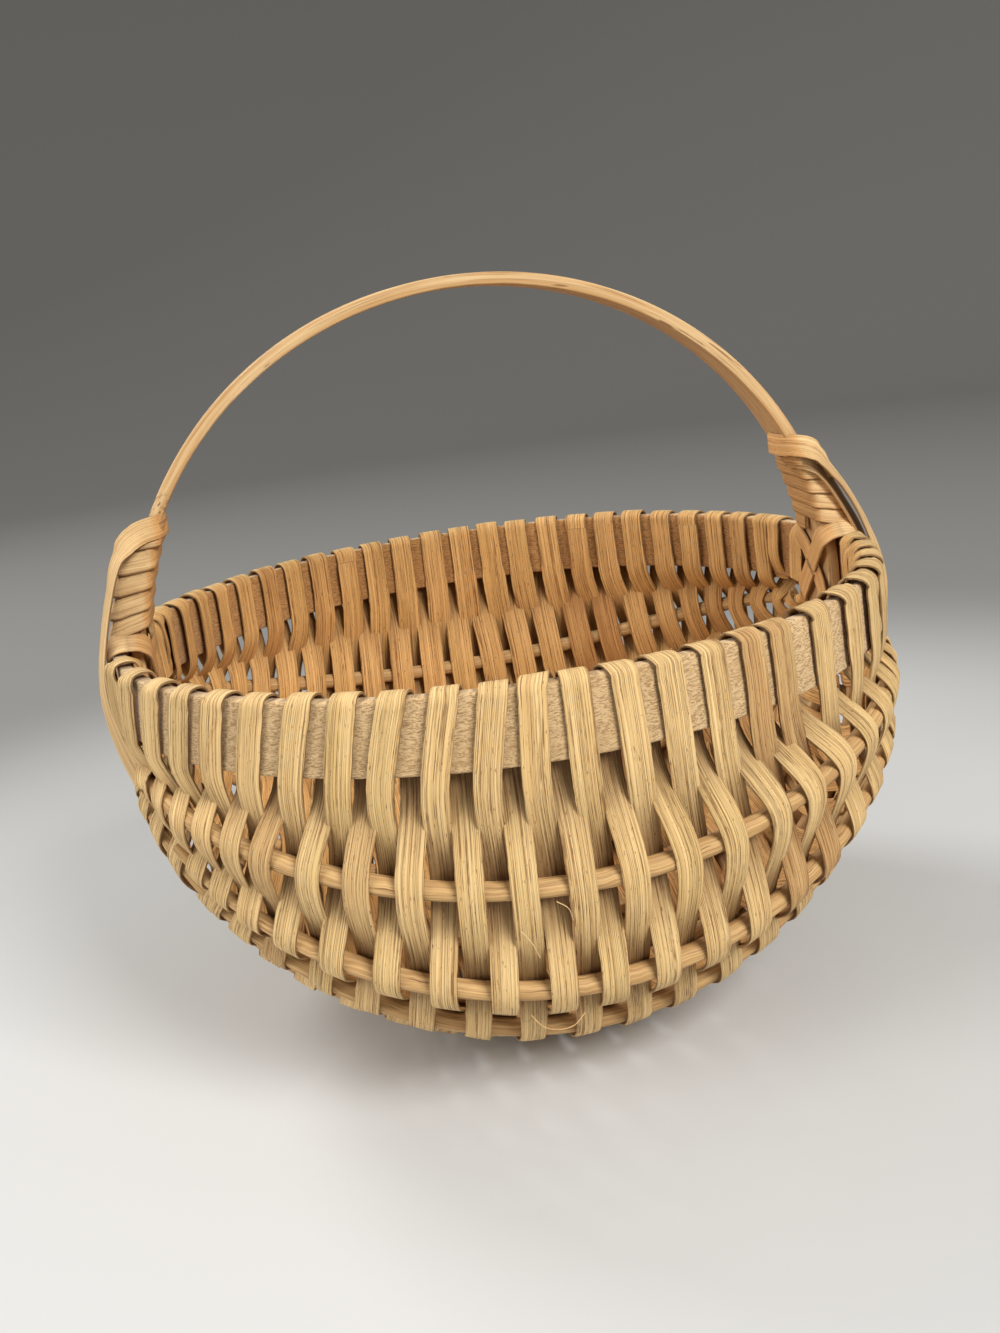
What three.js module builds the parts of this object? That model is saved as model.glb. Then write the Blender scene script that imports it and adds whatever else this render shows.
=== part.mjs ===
import * as THREE from "three";

// Driving sizes in millimetres: X runs from ear to ear, minus Y is the front, Z is up, floor at zero
const RIM_LENGTH = 150.4;
const RIM_WIDTH = 158.8;
const RIM_HEIGHT = 12.7;
const RIM_THICK = 2.6;
const BODY_HEIGHT = 84;
const BASKET_HEIGHT = 144.4;
const KEEL_RISE = 6.8;
const HANDLE_WIDTH = 12;
const HANDLE_THICK = 2.4;
const RIB_DIAMETER = 3.4;
const RIB_TIP = 1.8;
const REED_WIDTH = 4.4;
const REED_THICK = 0.9;
const LASH_WIDTH = 3.4;
const RIB_FAN = 21;
const WINDING_LEFT = 24;
const WINDING_RIGHT = 20;
const BOW_REACH = 11.5;
const BOW_DROP = 12;
const FIT = 0.3;
const TURN_GAP = 0.5;

// Counts and angles of the weave
const SIDE_ROWS = 22;
const EAR_ROWS = 4;
const RIM_REACH = THREE.MathUtils.degToRad(75.4);
const ROW_STEP = THREE.MathUtils.degToRad(3.5);
const KEEL_REACH = THREE.MathUtils.degToRad(68);
const WEAVERS_A_SIDE = 3;
const LEFT_TURNS = 7;
const RIGHT_TURNS = 6;

// Sizes that follow from the driving ones
const LIFT = FIT + REED_THICK / 2;
const RIM_TOP = BODY_HEIGHT - REED_THICK - FIT;
const RIM_LOW = RIM_TOP - RIM_HEIGHT;
const RIM_MID = (RIM_TOP + RIM_LOW) / 2;
const RIM_X = (RIM_LENGTH - RIM_THICK) / 2;
const RIM_Y = (RIM_WIDTH - RIM_THICK) / 2;
const RIM_CURVE = Math.sqrt(1 - (HANDLE_WIDTH / (RIM_WIDTH - 2 * RIM_THICK)) ** 2);
const HOOP_SEAT = (RIM_LENGTH / 2 - RIM_THICK) * RIM_CURVE - 1.2 * FIT;
const HOOP_X = HOOP_SEAT - HANDLE_THICK / 2;
const HOOP_Z = (BASKET_HEIGHT - KEEL_RISE - HANDLE_THICK) / 2;
const HOOP_MID = (BASKET_HEIGHT + KEEL_RISE) / 2;
const RIB_FLOOR = RIB_DIAMETER / 2 + REED_THICK + 2.8 * FIT;
const PAST = 2 * FIT;
const LAYER = REED_THICK + FIT;

const vec = (x, y, z) => new THREE.Vector3(x, y, z);
const mix = (a, b, f) => a.clone().lerp(b, f);

// A rib: where its middle lies, where its fan of ends points, and how it drops away from the ear
function rib(out, up, fan, wide, drop, stop, reach) {
  const turn = THREE.MathUtils.degToRad(fan);
  return {
    y: (out * RIM_WIDTH) / 2,
    z: RIB_FLOOR + up * BODY_HEIGHT,
    endY: RIB_FAN * Math.cos(turn),
    endZ: RIM_MID - RIB_FAN * Math.sin(turn),
    x: wide * RIM_X,
    drop,
    stop: THREE.MathUtils.degToRad(stop),
    reach: THREE.MathUtils.degToRad(reach),
  };
}
const RIBS = [
  rib(0.957, 0.536, 34, 0.972, 1.8, 90, 85),
  rib(0.9, 0.298, 40, 0.985, 1.4, 66, 81),
  rib(0.724, 0.132, 47, 0.99, 1.45, 90, 81),
  rib(0.492, 0.036, 54, 0.98, 1.2, 66, 79),
  rib(0.246, 0, 60, 0.962, 1.05, 90, 79),
];

function ribPoint(r, side, a) {
  const c = Math.max(Math.cos(a), 0);
  const out = r.endY + (r.y - r.endY) * c;
  const up = r.endZ + (r.z - r.endZ) * c ** r.drop;
  return vec(r.x * Math.sin(a), side * out, up);
}

function ribRadius(r, a) {
  const f = THREE.MathUtils.clamp((r.stop - Math.abs(a)) / 0.5, 0, 1);
  return (RIB_TIP + (RIB_DIAMETER - RIB_TIP) * f) / 2;
}

function hoopPoint(a) {
  return vec(HOOP_X * Math.sin(a), 0, HOOP_MID - HOOP_Z * Math.cos(a));
}

function rimPoint(side, a) {
  return vec(RIM_X * Math.sin(a), side * RIM_Y * Math.cos(a), RIM_MID);
}

function rimOut(side, a) {
  return vec(RIM_Y * Math.sin(a), side * RIM_X * Math.cos(a), 0).normalize();
}

function rimAngle(m) {
  const u = m / SIDE_ROWS;
  return RIM_REACH * (0.8 * u + 0.2 * u ** 3);
}

function rowAngle(m, reach) {
  return ROW_STEP * m + (reach - ROW_STEP * SIDE_ROWS) * (m / SIDE_ROWS) ** 3;
}

// A closed body through rings of corners, with a cap at each end or joined into one closed ring
function bodyThrough(rings, closed) {
  const n = rings[0].length;
  const flat = [];
  const tri = (a, b, c) => flat.push(...a.toArray(), ...b.toArray(), ...c.toArray());
  const last = closed ? rings.length : rings.length - 1;
  for (let i = 0; i < last; i += 1) {
    const p = rings[i];
    const q = rings[(i + 1) % rings.length];
    for (let k = 0; k < n; k += 1) {
      const j = (k + 1) % n;
      tri(p[k], p[j], q[j]);
      tri(p[k], q[j], q[k]);
    }
  }
  const end = rings[rings.length - 1];
  for (let k = 1; k < n - 1 && !closed; k += 1) {
    tri(rings[0][0], rings[0][k + 1], rings[0][k]);
    tri(end[0], end[k], end[k + 1]);
  }
  const g = new THREE.BufferGeometry();
  g.setAttribute("position", new THREE.Float32BufferAttribute(flat, 3));
  g.computeVertexNormals();
  return g;
}

// A flat strip through stations, each with a place, the way its width points, and its width
function stripThrough(stations) {
  const rings = stations.map((s, i) => {
    const before = stations[Math.max(i - 1, 0)].p;
    const after = stations[Math.min(i + 1, stations.length - 1)].p;
    const dir = after.clone().sub(before).normalize();
    const across = s.across.clone().addScaledVector(dir, -dir.dot(s.across)).normalize();
    const face = dir.clone().cross(across);
    across.multiplyScalar(s.width / 2);
    face.multiplyScalar(REED_THICK / 2);
    return [
      s.p.clone().sub(across).sub(face),
      s.p.clone().add(across).sub(face),
      s.p.clone().add(across).add(face),
      s.p.clone().sub(across).add(face),
    ];
  });
  return bodyThrough(rings, false);
}

// A flat band bent into a closed ring: place, way out and half sizes at each step
function ringBand(steps, place, out, side, halfOut, halfSide) {
  const rings = [];
  for (let i = 0; i < steps; i += 1) {
    const a = ((i + 0.5) / steps) * Math.PI * 2;
    const p = place(a);
    const o = out(a).multiplyScalar(halfOut);
    const s = side.clone().multiplyScalar(halfSide);
    rings.push([
      p.clone().sub(o).sub(s),
      p.clone().sub(o).add(s),
      p.clone().add(o).add(s),
      p.clone().add(o).sub(s),
    ]);
  }
  return bodyThrough(rings, true);
}

function ribBody(r, side) {
  const steps = 26;
  const sides = 6;
  const plane = vec(1, 0, 0).cross(vec(0, side * (r.y - r.endY), r.z - r.endZ)).normalize();
  const rings = [];
  for (let i = 0; i <= steps; i += 1) {
    const a = -r.stop + (2 * r.stop * i) / steps;
    const dir = ribPoint(r, side, a + 0.01).sub(ribPoint(r, side, a - 0.01)).normalize();
    const u = plane.clone().addScaledVector(dir, -dir.dot(plane)).normalize();
    const v = dir.clone().cross(u);
    const ring = [];
    for (let k = 0; k < sides; k += 1) {
      const turn = (k / sides) * Math.PI * 2;
      const p = ribPoint(r, side, a);
      p.addScaledVector(u, Math.cos(turn) * ribRadius(r, a));
      p.addScaledVector(v, Math.sin(turn) * ribRadius(r, a));
      ring.push(p);
    }
    rings.push(ring);
  }
  return bodyThrough(rings, false);
}

// The pieces row m crosses from the front rim to the back rim, before it is lifted over or under them
function crossings(m) {
  const list = [];
  const ends = Math.abs(m) > SIDE_ROWS - EAR_ROWS;
  const used = ends ? [RIBS[0], RIBS[2], RIBS[4]] : RIBS;
  const rim = (side) => {
    const p = rimPoint(side, rimAngle(m));
    p.z = RIM_LOW - PAST;
    const across = rimPoint(side, rimAngle(m) + 0.01).sub(rimPoint(side, rimAngle(m) - 0.01));
    return { p, across, half: RIM_THICK / 2, out: rimOut(side, rimAngle(m)), rim: true };
  };
  const overRib = (r, side) => {
    const a = rowAngle(m, r.reach);
    const across = ribPoint(r, side, a + 0.01).sub(ribPoint(r, side, a - 0.01));
    return { p: ribPoint(r, side, a), across, half: ribRadius(r, a) };
  };
  const overKeel = (side) => {
    const a = rowAngle(m, KEEL_REACH);
    const p = hoopPoint(a);
    p.y = side * (HANDLE_WIDTH / 2 + PAST);
    const across = hoopPoint(a + 0.01).sub(hoopPoint(a - 0.01));
    const out = vec(HOOP_Z * Math.sin(a), 0, -HOOP_X * Math.cos(a)).normalize();
    return { p, across, half: HANDLE_THICK / 2, out };
  };
  list.push(rim(-1));
  used.forEach((r) => list.push(overRib(r, -1)));
  list.push(overKeel(-1), overKeel(1));
  [...used].reverse().forEach((r) => list.push(overRib(r, 1)));
  list.push(rim(1));
  const keel = used.length + 1;
  list.forEach((s, i) => {
    const count = i <= keel ? i : i - 1;
    s.over = (m + count) % 2 === 0 ? 1 : -1;
    s.across.normalize();
    if (s.out) return;
    const dir = list[i + 1].p.clone().sub(list[i - 1].p);
    s.out = dir.cross(s.across).normalize();
    if (s.out.dot(s.p.clone().sub(vec(0, 0, RIM_MID))) < 0) s.out.negate();
  });
  return list;
}

// The stations of row m, from front to back: at each crossing and half way between two crossings
function rowStations(m) {
  const here = crossings(m);
  const next = Math.abs(m) < SIDE_ROWS ? [crossings(m - 1), crossings(m + 1)] : null;
  const inner = crossings(m > 0 ? m - 1 : m + 1);
  const same = (list) => list.length === here.length;
  const room = here.map((s, i) => {
    const sides = next ? next.filter(same) : [inner].filter(same);
    const run = [here[i - 1], here[i + 1]].filter(Boolean);
    const ways = run.map((t) => t.p.clone().sub(s.p).normalize());
    const gaps = sides.map((list) => {
      const way = list[i].p.clone().sub(s.p);
      return Math.min(...ways.map((w) => way.clone().cross(w).length()));
    });
    return Math.min(REED_WIDTH, ...gaps.map((g) => g - TURN_GAP));
  });
  const lifts = here.map(() => 1);
  const place = (s, i) => s.p.clone().addScaledVector(s.out, s.over * (s.half + LIFT) * lifts[i]);
  for (let pass = 0; pass < 3; pass += 1) {
    const spots = here.map(place);
    here.forEach((s, i) => {
      if (s.rim) return;
      const slope = [spots[i].clone().sub(spots[i - 1]), spots[i + 1].clone().sub(spots[i])];
      const steep = Math.max(...slope.map((d) => Math.abs(d.normalize().dot(s.out))));
      lifts[i] = 1 / Math.sqrt(1 - Math.min(steep, 0.8) ** 2);
    });
  }
  const spots = here.map(place);
  const out = [];
  here.forEach((s, i) => {
    const width = s.rim ? REED_WIDTH : room[i];
    out.push({ p: spots[i], across: s.across, width });
    if (i === here.length - 1) return;
    const t = here[i + 1];
    if (s.p.x === t.p.x && s.half === t.half) return;
    const across = s.across.clone().add(t.across);
    const tight = Math.min(room[i], room[i + 1]);
    const width2 = s.rim || t.rim ? Math.min((room[i] + room[i + 1]) / 2, tight + TURN_GAP) : tight;
    out.push({ p: mix(spots[i], spots[i + 1], 0.5), across, width: width2 });
  });
  return out;
}

// The turn of a weaver over the rim from row m to the next one, from outside to inside
function rimTurn(side, m, next) {
  const at = (f, out, z) => {
    const a = rimAngle(m + (next - m) * f);
    const across = rimPoint(side, a + 0.01).sub(rimPoint(side, a - 0.01)).normalize();
    const p = rimPoint(side, a).addScaledVector(rimOut(side, a), out);
    p.z = z;
    return { p, across, width: REED_WIDTH };
  };
  const face = RIM_THICK / 2 + LIFT;
  const lip = face - PAST;
  const shoulder = RIM_TOP + PAST / 3;
  const crown = RIM_TOP + LIFT + FIT / 3;
  return [at(0.4, face, shoulder), at(0.46, lip, crown), at(0.54, -lip, crown), at(0.6, -face, shoulder)];
}

// One side's weaving from the ear to the middle as separate weavers, butted inside the rim
function weaveSide(ear) {
  const rows = [];
  for (let m = SIDE_ROWS; m >= (ear < 0 ? 0 : 1); m -= 1) rows.push(ear * m);
  const share = Math.ceil(rows.length / WEAVERS_A_SIDE);
  const weavers = [[]];
  rows.forEach((m, i) => {
    const even = m % 2 === 0;
    const stations = rowStations(m);
    if (even) stations.reverse();
    if (i === 0) stations.unshift(...rimTurn(1, m, m).slice(0, 3).reverse());
    weavers[weavers.length - 1].push(...stations);
    if (i === rows.length - 1) {
      const tail = even ? rimTurn(-1, m, m).slice(0, 3) : rimTurn(1, m, m).reverse().slice(0, 3);
      weavers[weavers.length - 1].push(...tail);
      return;
    }
    const turn = even ? rimTurn(-1, m, rows[i + 1]) : rimTurn(1, rows[i + 1], m).reverse();
    const splice = (i + 1) % share === 0;
    if (!splice) {
      weavers[weavers.length - 1].push(...turn);
      return;
    }
    const low = even ? rowStations(rows[i + 1])[0] : stations[stations.length - 1];
    const high = even ? turn[turn.length - 1] : turn[0];
    const cut = (f) => ({ p: mix(high.p, low.p, f), across: low.across, width: REED_WIDTH });
    if (even) {
      weavers[weavers.length - 1].push(...turn, cut(0.45));
      weavers.push([cut(0.55)]);
    } else {
      weavers[weavers.length - 1].push(cut(0.55));
      weavers.push([cut(0.45), ...turn]);
    }
  });
  return weavers.map(stripThrough);
}

// The cross lashing at an ear: one strip round two opposite corners where the hoops meet
function crossLash(ear, flip, layer) {
  const stand = LASH_WIDTH * 0.36 + REED_THICK * 0.36 + 2 * FIT;
  const y = HANDLE_WIDTH / 2 + stand;
  const high = RIM_TOP + stand;
  const low = RIM_LOW - stand;
  const rise = (high - low) / 2;
  const corner = REED_THICK + FIT / 3;
  const outer = RIM_LENGTH / 2 + LIFT;
  const away = Math.max(high - HOOP_MID, HOOP_MID - low) + stand;
  const inner = HOOP_X * Math.sqrt(1 - (away / HOOP_Z) ** 2) - HANDLE_THICK / 2 - LIFT;
  const across = vec(0, -rise, flip * y);
  const at = (s, x) => ({
    p: vec(ear * x, flip * y * s, (high + low) / 2 + rise * s),
    across,
    width: LASH_WIDTH,
  });
  return stripThrough([
    at(-0.05, inner - layer * LAYER),
    at(-0.32, inner - layer * LAYER),
    at(-0.9, inner),
    at(-1, inner + corner),
    at(-1, outer - corner),
    at(-0.9, outer),
    at(-0.32, outer + layer * LAYER),
    at(0.32, outer + layer * LAYER),
    at(0.9, outer),
    at(1, outer - corner),
    at(1, inner + corner),
    at(0.9, inner),
    at(0.32, inner - layer * LAYER),
    at(0.05, inner - layer * LAYER),
  ]);
}

// Heights of the winding above an ear
const LASH_FOOT = RIM_TOP + LASH_WIDTH + REED_THICK + 5 * FIT;
const LEFT_TOP = BODY_HEIGHT + WINDING_LEFT;
const RIGHT_TOP = BODY_HEIGHT + WINDING_RIGHT;

function hoopTurn(z) {
  return Math.PI - Math.acos((z - HOOP_MID) / HOOP_Z);
}

// The winding round the handle above an ear, one unbroken strip from foot to top
function windingStations(ear, top, turns) {
  const face = HANDLE_THICK / 2 + LIFT;
  const edge = HANDLE_WIDTH / 2 + LIFT;
  const nip = REED_THICK / 2;
  const loop = [
    [face, 0],
    [face, edge - nip],
    [face - nip, edge],
    [nip - face, edge],
    [-face, edge - nip],
    [-face, 0],
    [-face, nip - edge],
    [nip - face, -edge],
    [face - nip, -edge],
    [face, nip - edge],
  ];
  const from = hoopTurn(LASH_FOOT);
  const to = hoopTurn(top);
  const steps = loop.length * turns;
  const arc = hoopPoint(from).distanceTo(hoopPoint(to));
  const inside = 1 - face / HOOP_Z;
  const width = Math.min(LASH_WIDTH, (inside * arc) / turns - TURN_GAP - FIT / 3);
  const list = [];
  for (let i = 0; i <= steps; i += 1) {
    const a = from + ((to - from) * i) / steps;
    const [out, y] = loop[(i + 5) % loop.length];
    const p = hoopPoint(a);
    const way = vec(HOOP_Z * Math.sin(a), 0, -HOOP_X * Math.cos(a)).normalize();
    const across = hoopPoint(a + 0.01).sub(hoopPoint(a - 0.01)).normalize();
    p.addScaledVector(way, out);
    p.y = y;
    p.x *= ear;
    across.x *= ear;
    list.push({ p, across, width });
  }
  return list;
}

// The least gap between neighbouring turns of a winding, measured on points along its two edges
function leastGap(list) {
  const edges = [];
  list.forEach((s, i) => {
    if (i === 0) return;
    for (let k = 0; k < 6; k += 1) {
      const p = mix(list[i - 1].p, s.p, k / 6);
      const w = s.across.clone().multiplyScalar(s.width / 2);
      edges.push({ i: i - 1 + k / 6, low: p.clone().sub(w), high: p.clone().add(w) });
    }
  });
  let least = Infinity;
  edges.forEach((e) => {
    edges.forEach((f) => {
      if (f.i - e.i > 6) least = Math.min(least, e.high.distanceTo(f.low));
    });
  });
  return least;
}

// A bow strip from the top of a winding, out over the rim and down the front of the side
function bowStrip(ear, top, layer, bow) {
  const start = hoopTurn(top - BOW_DROP / 6);
  const way = vec(HOOP_Z * Math.sin(start), 0, -HOOP_X * Math.cos(start)).normalize();
  const head = hoopPoint(start);
  head.addScaledVector(way, HANDLE_THICK / 2 + LIFT + LAYER * (1 + layer));
  const far = RIM_LENGTH / 2 + LIFT + LAYER * (2 + bow) + FIT;
  const out = (f, x, z) => vec(x, -f * BOW_REACH, z);
  const spots = [
    out(0.09, head.x, head.z),
    out(0.17, (head.x + far + REED_THICK) / 2 + FIT, (head.z + RIM_TOP + BOW_DROP) / 2 - FIT * 7),
    out(0.35, far, RIM_TOP + BOW_DROP / 4),
    out(0.56, far + LAYER / 3, RIM_MID),
    out(0.78, far - LAYER / 2, RIM_LOW - BOW_DROP / 3),
    out(1, far - LAYER * 2.2 - (bow * LAYER) / 6, RIM_LOW - BOW_DROP * (1 + bow / 6)),
  ];
  const path = new THREE.CatmullRomCurve3(spots);
  const list = [];
  for (let i = 0; i <= 14; i += 1) {
    const p = path.getPoint(i / 14);
    const t = path.getTangent(i / 14);
    const across = vec(0, t.z, -t.y).normalize();
    p.x *= ear;
    list.push({ p, across, width: LASH_WIDTH + PAST });
  }
  return stripThrough(list);
}

const root = new THREE.Group();
root.name = "buttocks_basket";

function add(name, geometry, color, roughness) {
  const material = new THREE.MeshStandardMaterial({ color, roughness, metalness: 0 });
  const mesh = new THREE.Mesh(geometry, material);
  mesh.name = name;
  root.add(mesh);
}

const rimRing = ringBand(
  72,
  (a) => vec(RIM_X * Math.cos(a), RIM_Y * Math.sin(a), RIM_MID),
  (a) => vec(RIM_Y * Math.cos(a), RIM_X * Math.sin(a), 0).normalize(),
  vec(0, 0, 1),
  RIM_THICK / 2,
  RIM_HEIGHT / 2,
);
add("rim_hoop", rimRing, 0xd9bd8c, 0.85);

const handleRing = ringBand(
  72,
  (a) => vec(HOOP_X * Math.cos(a), 0, HOOP_MID + HOOP_Z * Math.sin(a)),
  (a) => vec(HOOP_Z * Math.cos(a), 0, HOOP_X * Math.sin(a)).normalize(),
  vec(0, -1, 0),
  HANDLE_THICK / 2,
  HANDLE_WIDTH / 2,
);
add("handle_hoop", handleRing, 0xbd8a4c, 0.6);

RIBS.forEach((r, i) => {
  add(`rib_front_${i + 1}`, ribBody(r, -1), 0xb98f56, 0.75);
  add(`rib_back_${i + 1}`, ribBody(r, 1), 0xb98f56, 0.75);
});

weaveSide(-1).forEach((g, i) => add(`weaver_left_${i + 1}`, g, 0xcfa95f, 0.7));
weaveSide(1).forEach((g, i) => add(`weaver_right_${i + 1}`, g, 0xcfa95f, 0.7));

[
  ["left", -1, LEFT_TOP, LEFT_TURNS, [1]],
  ["right", 1, RIGHT_TOP, RIGHT_TURNS, [0, 1]],
].forEach(([name, ear, top, turns, bows]) => {
  add(`cross_lash_${name}_1`, crossLash(ear, 1, 0), 0xc79f58, 0.7);
  add(`cross_lash_${name}_2`, crossLash(ear, -1, 1), 0xc79f58, 0.7);
  const winding = windingStations(ear, top, turns);
  console.log(`ear_winding_${name} least gap ${leastGap(winding).toFixed(2)} mm`);
  add(`ear_winding_${name}`, stripThrough(winding), 0xd2ae68, 0.7);
  bows.forEach((bow, k) => {
    add(`bow_strip_${name}_${k + 1}`, bowStrip(ear, top, k, bow), 0xd2ae68, 0.7);
  });
});

export default root;
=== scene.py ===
# A small woven egg basket: two hoops, ten ribs, flat reed weavers and lashed ears
import math
import random

import bpy
from mathutils import Matrix, Vector


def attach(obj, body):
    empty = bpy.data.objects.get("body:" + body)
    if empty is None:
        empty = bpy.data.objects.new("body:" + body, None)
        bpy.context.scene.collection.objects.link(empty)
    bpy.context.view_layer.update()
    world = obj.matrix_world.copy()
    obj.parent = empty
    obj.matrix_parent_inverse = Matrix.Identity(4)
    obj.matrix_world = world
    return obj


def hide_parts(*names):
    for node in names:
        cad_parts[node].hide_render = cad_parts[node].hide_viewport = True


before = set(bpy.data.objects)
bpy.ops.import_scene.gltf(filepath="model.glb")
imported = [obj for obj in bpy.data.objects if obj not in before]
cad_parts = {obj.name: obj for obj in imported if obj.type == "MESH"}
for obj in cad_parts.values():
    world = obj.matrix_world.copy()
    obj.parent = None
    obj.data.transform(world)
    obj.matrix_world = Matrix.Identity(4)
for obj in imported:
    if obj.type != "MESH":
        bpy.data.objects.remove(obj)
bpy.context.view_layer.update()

# Sizes in metres: X runs from ear to ear, minus Y is the front, Z is up, floor at zero
RIM_LENGTH = 0.1504
RIM_WIDTH = 0.1588
RIM_HEIGHT = 0.0127
RIM_THICK = 0.0026
RIM_BEVEL = 0.0005
BODY_HEIGHT = 0.084
BASKET_HEIGHT = 0.1444
KEEL_RISE = 0.0068
HANDLE_WIDTH = 0.012
HANDLE_THICK = 0.0024
HANDLE_BEVEL = 0.0004
RIB_DIAMETER = 0.0034
RIB_TIP = 0.0018
RIB_FAN = 0.021
STRIP_WIDTH = 0.0046
STRIP_THICK = 0.0006
NARROWEST_STRIP = 0.0034
EAR_THICK = 0.0008
STRAY_WIDTH = 0.00016

# The solids' own strip thickness and lashing width, which the hoops and lashings leave room for
REED_THICK = 0.0009
LASH_WIDTH = 0.0034

# Room between pieces that touch, from loose to pressed
FIT = 0.0003
AIR = 0.0001
HAIR = 0.00003

# Counts and angles of the weave
SIDE_ROWS = 22
LAST_ROW = 24
EAR_ROWS = 6
RIM_REACH = math.radians(75.4)
BACK_REACH = math.radians(66)
ROW_STEP = math.radians(3.5)
KEEL_REACH = math.radians(68)
WEAVERS_A_SIDE = 3
WINDING_TURNS = 5
EARS = (("left", -1), ("right", 1))
FRONT, BACK = -1, 1

# What a row crosses, numbered from the front: ribs are 1 to 5 in front and 8 to 12 behind
FRONT_RIM_AT, KEEL_AT, BACK_RIBS_AT, BACK_RIM_AT = 0, 6, 8, 13

# How finely curves are cut, the most they bend at a cut, and the turn that gives a direction
WEAVE_STEP = 0.0014
FINE_STEP = 0.0009
FIBRE_STEP = 0.0007
RIB_STEPS = 130
POINT_STEPS = 6
TURN_STEPS = 60
HOOP_FACETS = 200
MOST_BEND = 0.2
SLIGHT = 0.01

# Sizes that follow from these
RIM_TOP = BODY_HEIGHT - REED_THICK - FIT
RIM_LOW = RIM_TOP - RIM_HEIGHT
RIM_MID = (RIM_TOP + RIM_LOW) / 2
RIM_X = (RIM_LENGTH - RIM_THICK) / 2
RIM_Y = (RIM_WIDTH - RIM_THICK) / 2
RIM_CURVE = math.sqrt(1 - (HANDLE_WIDTH / (RIM_WIDTH - 2 * RIM_THICK)) ** 2)
HOOP_X = (RIM_LENGTH / 2 - RIM_THICK) * RIM_CURVE - 1.2 * FIT - HANDLE_THICK / 2
HOOP_Z = (BASKET_HEIGHT - KEEL_RISE - HANDLE_THICK) / 2
HOOP_MID = (BASKET_HEIGHT + KEEL_RISE) / 2
RIB_FLOOR = RIB_DIAMETER / 2 + REED_THICK + 2.8 * FIT
TUCK = STRIP_THICK / 2 + HAIR

# Painted shade along a strip's edges, for the shadow lines between strips: how dark, and where that
# starts across it; and how unevenly the edges are cut
EDGE_SHADE = 0.62
EDGE_START = 0.87
EDGE_END = 0.98
ROUGH_EDGE = 0.022

chance = random.Random(41)


def rib(out, up, fan, wide, drop, stop, reach, point=None):
    """A rib: where its middle lies, how it fans at the ears, and the point of a long one there."""
    turn = math.radians(fan)
    return {
        "y": out * RIM_WIDTH / 2,
        "z": RIB_FLOOR + up * BODY_HEIGHT,
        "end_y": RIB_FAN * math.cos(turn),
        "end_z": RIM_MID - RIB_FAN * math.sin(turn),
        "x": wide * RIM_X,
        "drop": drop,
        "stop": math.radians(stop),
        "reach": math.radians(reach),
        "fan": turn,
        "point": point,
    }


RIBS = [
    rib(0.957, 0.536, 34, 0.972, 1.8, 90, 85, 0.0128),
    rib(0.9, 0.298, 40, 0.985, 1.4, 66, 81),
    rib(0.724, 0.132, 47, 0.99, 1.45, 90, 81, 0.0112),
    rib(0.492, 0.03, 54, 0.98, 1.2, 66, 79),
    rib(0.246, -0.011, 60, 0.962, 1.05, 90, 79, 0.0145),
]
LONG_RIBS = [i for i, r in enumerate(RIBS) if r["point"]]
# The turn, in radians, over which a rib is whittled down to its tip
RIB_TAPER = 0.5

# Tones of straw, from greenish at nought to reddish at one: each row has its own
TRIM_TONE = 0.3
TONE = {m: chance.uniform(0.05, 0.75) for m in range(-LAST_ROW - 1, LAST_ROW + 2)}
TONE.update({8: 0.98, 9: 0.7, 10: 0.95, -13: 0.85, -9: 0.8, -3: 0.15, 0: 0.1, 3: 0.2})

# How far, in rows, each row strays from its even place at each crossing
SWAY = {
    (m, k): chance.uniform(-0.09, 0.09)
    for m in range(-LAST_ROW, LAST_ROW + 1)
    for k in range(BACK_RIM_AT + 1)
}


def ease(x, low, high):
    f = min(max((x - low) / (high - low), 0), 1)
    return f * f * (3 - 2 * f)


def hump(x, low, high):
    """Nought outside low and high, one half way between."""
    f = min(max((x - low) / (high - low), 0), 1)
    return math.sin(math.pi * f) ** 2


# How far the rows draw in towards the middle on the back ribs, from the keel to the rim
BACK_DRIFT = (0.02, 0.03, 0.05, 0.06, 0.08)


def wrap_drift(m):
    """How far, in rows, the weaving strays from its even place at the front rim's lower edge."""
    left = 0.9 * ease(-m, 13, 22) - 0.28 * hump(m, -14, -2)
    right = 0.4 * ease(m, -3, 3) + 0.65 * hump(m, 11, 21) - 1.2 * ease(m, 20, 24)
    return left + right - 0.45 * hump(m, 8, 12)


def wrap_lean(m):
    """How many rows a wrap gains towards the middle up half the front rim's face."""
    return 0.58 - 0.68 * ease(m, -8, 2)


def row_place(m, where):
    """Row m's place, in rows from the middle, at a crossing that is numbered from the front."""
    m = min(max(m, -LAST_ROW), LAST_ROW)
    sway = SWAY[m, where] * (0.5 if abs(m) > 14 else 1)
    fade = max(1 - (abs(m) / SIDE_ROWS) ** 3, 0)
    crowd = 0.35 * max(-m - 13, 0) - 0.33 * max(m - 16, 0)
    if where == FRONT_RIM_AT:
        shift = wrap_drift(m)
    elif where == 1:
        shift = (0.57 + 0.3 * (1 - ease(m, -16, -8))) * fade + crowd
    elif where == 2:
        shift = (0.08 + 0.46 * ease(m, -9, -2)) * fade + crowd * 0.8
    elif where == 3:
        shift = (0.4 + 0.35 * ease(m, -8, 0)) * fade + crowd * 0.7
    elif where <= KEEL_AT:
        shift = (0.4, 0.25, 0.12)[where - 4] * fade + crowd * 0.5
    elif where == BACK_RIM_AT:
        shift = 0
    else:
        drift = BACK_DRIFT[where - BACK_RIBS_AT]
        shift = -m * drift - 0.14 * math.copysign(max(abs(m) - 14.5, 0), m)
    return m + shift + sway


def rib_point(r, side, a):
    c = max(math.cos(a), 0.0)
    out = r["end_y"] + (r["y"] - r["end_y"]) * c
    up = r["end_z"] + (r["z"] - r["end_z"]) * c ** r["drop"]
    return Vector((r["x"] * math.sin(a), side * out, up))


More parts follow.
